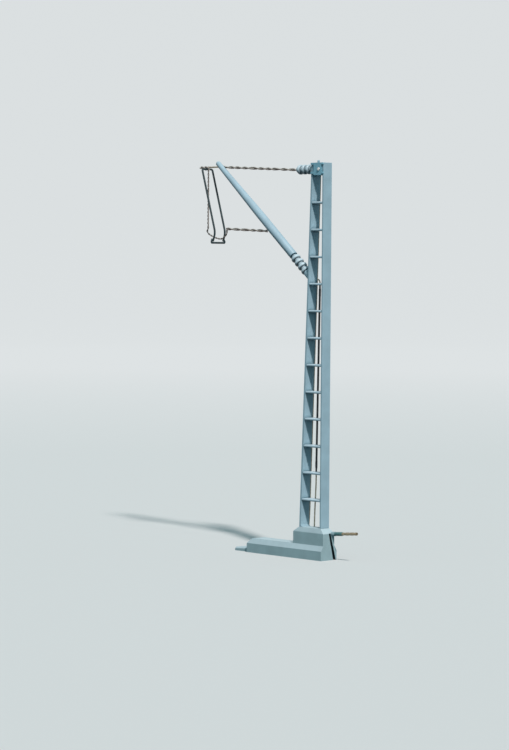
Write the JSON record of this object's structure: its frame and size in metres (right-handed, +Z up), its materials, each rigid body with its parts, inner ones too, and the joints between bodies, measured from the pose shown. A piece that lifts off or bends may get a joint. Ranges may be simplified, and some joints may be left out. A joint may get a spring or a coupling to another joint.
{
  "type": "model railway catenary mast",
  "caption": "Lattice catenary mast for a model railway, with stepped base, insulated boom, twisted tie and steady wires, and a hanger for the overhead line.",
  "frame": {"origin": "centre of the underside of the base's long foot", "axes": "+Z up the post, -X towards the track, Y along the track"},
  "size_m": [0.057, 0.0052, 0.0973],
  "materials": {
    "base_plastic": "grey moulded plastic, slightly rough",
    "post_plastic": "grey moulded plastic, satin",
    "boom_plastic": "grey moulded plastic, satin",
    "insulator_plastic": "grey moulded ribbed insulator, soft gloss",
    "pin_metal": "small bright pin head",
    "wire_metal": "darkened steel wire with worn bright tops",
    "copper_wire": "dull tan conductor wire",
    "suppressor_body": "dark slim suppressor body",
    "lug_plastic": "grey-green sleeve",
    "ferrule_metal": "dull tan ferrule"
  },
  "bodies": {
    "root": {"base_block": "base_plastic", "base_foot": "base_plastic", "boom_bracket": "post_plastic", "boom_insulator": "insulator_plastic", "boom_tube": "boom_plastic", "contact_clip": "wire_metal", "dropper": "wire_metal", "feed_wire": "copper_wire", "feeder_ferrule": "ferrule_metal", "feeder_lug": "lug_plastic", "hanger_frame": "wire_metal", "head_block": "post_plastic", "head_nub": "post_plastic", "head_pin": "pin_metal", "rear_wall": "post_plastic", "rung_01": "post_plastic", "rung_02": "post_plastic", "rung_03": "post_plastic", "rung_04": "post_plastic", "rung_05": "post_plastic", "rung_06": "post_plastic", "rung_07": "post_plastic", "rung_08": "post_plastic", "rung_09": "post_plastic", "rung_10": "post_plastic", "rung_11": "post_plastic", "rung_12": "post_plastic", "steady_arm": "wire_metal", "suppressor": "suppressor_body", "suppressor_low_lead": "copper_wire", "suppressor_top_lead": "copper_wire", "tie_insulator": "insulator_plastic", "tie_link": "wire_metal", "tie_rod": "wire_metal", "tie_tail": "wire_metal", "track_side_wall": "post_plastic", "track_tongue": "base_plastic"}
  },
  "joints": []
}
